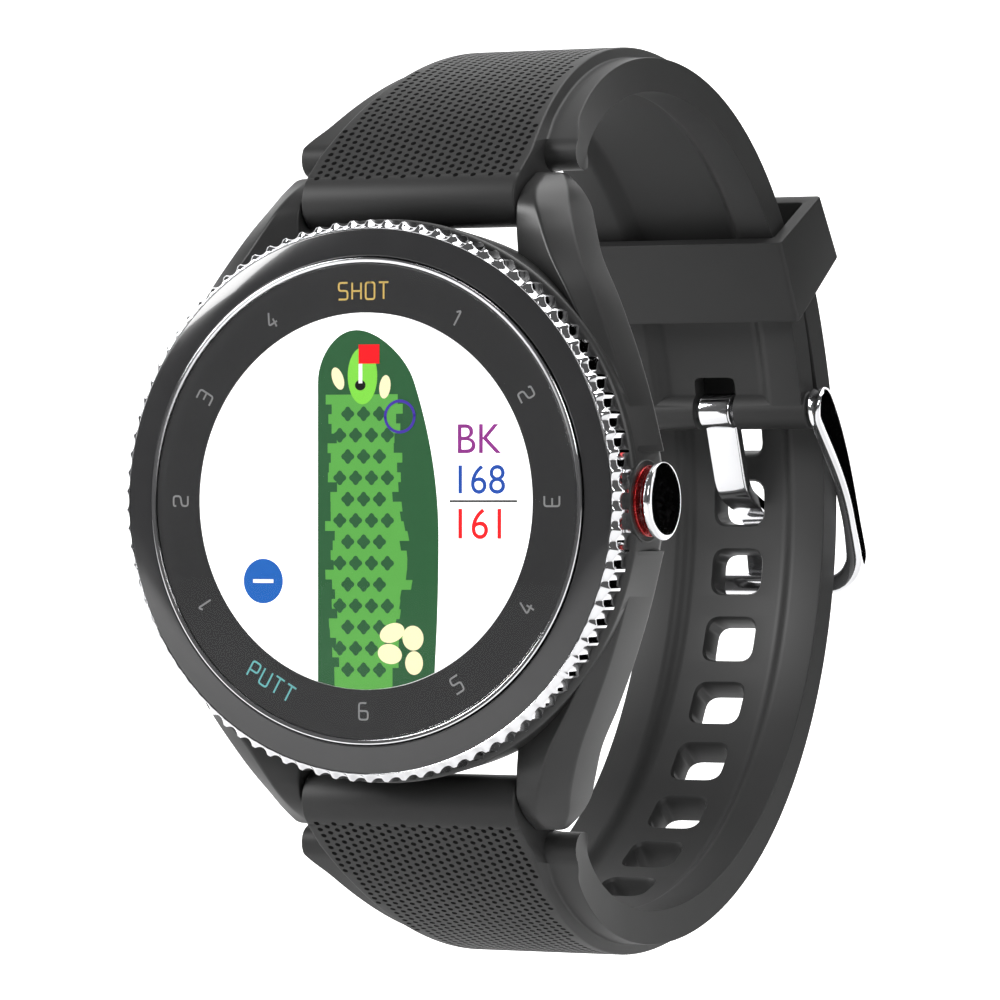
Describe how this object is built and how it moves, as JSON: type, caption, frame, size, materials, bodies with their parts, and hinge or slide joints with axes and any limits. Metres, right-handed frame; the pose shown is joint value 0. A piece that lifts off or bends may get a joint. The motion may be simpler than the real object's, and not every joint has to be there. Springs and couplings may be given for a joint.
{
  "type": "golf gps watch",
  "caption": "Round-faced golf GPS wristwatch with a turning scalloped bezel, lit course display, side push button and a buckled silicone strap.",
  "frame": {"origin": "middle of the case back's outer face, which rests on the wrist", "axes": "+Z towards 12 o'clock, +X towards 3 o'clock (the button side), -Y out of the glass; +Y out of the case back"},
  "size_m": [0.0475, 0.0803, 0.0776],
  "materials": {
    "case_polymer": "charcoal moulded polymer, fine matt texture",
    "polished_steel": "mirror polished steel",
    "gloss_black": "piano black gloss",
    "spring_steel": "drawn spring steel",
    "lens_glass": "clear hardened glass",
    "seal_rubber": "matt black rubber",
    "scale_print": "dark grey printed ring",
    "display_glass": "lit white display",
    "black_plastic": "black glass-filled plastic",
    "amber_film": "amber polyimide film",
    "board_green": "green solder mask",
    "chip_black": "moulded chip packages",
    "screw_steel": "machined steel",
    "antenna_ceramic": "dielectric ceramic",
    "battery_foil": "laminated foil pouch",
    "rotor_metal": "sintered heavy metal",
    "white_plastic": "white nylon",
    "back_polymer": "charcoal moulded polymer",
    "contact_gold": "gold plated",
    "red_anodised": "dark red anodised",
    "strap_silicone": "charcoal silicone, matt"
  },
  "bodies": {
    "watch": {"case_body": "case_polymer", "bezel_trim_ring": "polished_steel", "bezel_retaining_ring": "spring_steel", "bezel_click_spring": "spring_steel", "lens": "lens_glass", "lens_gasket": "seal_rubber", "scale_ring": "scale_print", "display_panel": "display_glass", "display_frame": "black_plastic", "display_flex": "amber_film", "inner_chassis": "black_plastic", "main_board": "board_green", "board_chips": "chip_black", "board_screws": "screw_steel", "gps_antenna": "antenna_ceramic", "battery": "battery_foil", "vibration_motor_case": "screw_steel", "tact_switch": "black_plastic", "case_back": "back_polymer", "case_back_gasket": "seal_rubber", "case_back_screws": "screw_steel", "contact_insulator": "gloss_black", "charging_contacts": "contact_gold", "button_red_ring": "red_anodised", "button_seal": "seal_rubber", "button_spring": "spring_steel", "upper_strap": "strap_silicone", "lower_strap": "strap_silicone", "upper_bar_tube": "spring_steel", "upper_bar_spring": "spring_steel", "lower_bar_tube": "spring_steel", "lower_bar_spring": "spring_steel", "buckle_bar_tube": "spring_steel", "buckle_bar_spring": "spring_steel"},
    "bezel": {"bezel_grip_ring": "polished_steel", "bezel_insert": "gloss_black"},
    "side_button": {"button_cap": "polished_steel", "button_stem": "spring_steel", "button_clip": "spring_steel"},
    "switch_plunger_body": {"switch_plunger": "white_plastic"},
    "rotor": {"vibration_rotor": "rotor_metal"},
    "frame": {"buckle_frame": "polished_steel"},
    "tongue": {"buckle_tongue": "polished_steel"},
    "keeper_loop": {"keeper": "strap_silicone"},
    "upper_bar_left": {"upper_bar_left_tip": "spring_steel"},
    "upper_bar_right": {"upper_bar_right_tip": "spring_steel"},
    "lower_bar_left": {"lower_bar_left_tip": "spring_steel"},
    "lower_bar_right": {"lower_bar_right_tip": "spring_steel"},
    "buckle_bar_left": {"buckle_bar_left_tip": "spring_steel"},
    "buckle_bar_right": {"buckle_bar_right_tip": "spring_steel"}
  },
  "joints": [
    {"name": "bezel_turn", "type": "hinge", "parent": "watch", "child": "bezel", "pos_m": [0, -0.01, 0], "axis": [0, -1, 0], "continuous": true},
    {"name": "side_button_press", "type": "slide", "parent": "watch", "child": "side_button", "axis": [-1, 0, 0], "range_m": [0, 0.00035], "stiffness_N_per_m": 5000, "springref_m": -0.00011, "deforming": ["button_spring"]},
    {"name": "switch_press", "type": "slide", "parent": "watch", "child": "switch_plunger_body", "axis": [-1, 0, 0], "range_m": [0, 0.00035]},
    {"name": "rotor_spin", "type": "hinge", "parent": "watch", "child": "rotor", "pos_m": [0.0106, -0.005, 0.0076], "axis": [0, -1, 0], "continuous": true},
    {"name": "upper_bar_left_press", "type": "slide", "parent": "watch", "child": "upper_bar_left", "axis": [1, 0, 0], "range_m": [0, 0.00095], "stiffness_N_per_m": 800, "springref_m": -0.00028, "deforming": ["upper_bar_spring"]},
    {"name": "upper_bar_right_press", "type": "slide", "parent": "watch", "child": "upper_bar_right", "axis": [-1, 0, 0], "range_m": [0, 0.00095], "stiffness_N_per_m": 800, "springref_m": -0.00028, "deforming": ["upper_bar_spring"]},
    {"name": "lower_bar_left_press", "type": "slide", "parent": "watch", "child": "lower_bar_left", "axis": [1, 0, 0], "range_m": [0, 0.00095], "stiffness_N_per_m": 800, "springref_m": -0.00028, "deforming": ["lower_bar_spring"]},
    {"name": "lower_bar_right_press", "type": "slide", "parent": "watch", "child": "lower_bar_right", "axis": [-1, 0, 0], "range_m": [0, 0.00095], "stiffness_N_per_m": 800, "springref_m": -0.00028, "deforming": ["lower_bar_spring"]},
    {"name": "buckle_bar_left_press", "type": "slide", "parent": "watch", "child": "buckle_bar_left", "axis": [1, 0, 0], "range_m": [0, 0.00095], "stiffness_N_per_m": 800, "springref_m": -0.00028, "deforming": ["buckle_bar_spring"]},
    {"name": "buckle_bar_right_press", "type": "slide", "parent": "watch", "child": "buckle_bar_right", "axis": [-1, 0, 0], "range_m": [0, 0.00095], "stiffness_N_per_m": 800, "springref_m": -0.00028, "deforming": ["buckle_bar_spring"]},
    {"name": "buckle_swing", "type": "hinge", "parent": "watch", "child": "frame", "pos_m": [0, 0.0568, 0.0082], "axis": [1, 0, 0], "range_deg": [0, 8]},
    {"name": "tongue_swing", "type": "hinge", "parent": "watch", "child": "tongue", "pos_m": [0, 0.0568, 0.0082], "axis": [1, 0, 0], "range_deg": [0, 8]},
    {"name": "keeper_slide", "type": "hinge", "parent": "watch", "child": "keeper_loop", "pos_m": [0, 0.0144, 0.0002], "axis": [1, 0, 0], "range_deg": [-4.5, 1.5]}
  ],
  "couplings": [
    {"joint": "switch_press", "follows": "side_button_press", "ratio": 1},
    {"joint": "tongue_swing", "follows": "buckle_swing", "ratio": 1}
  ]
}
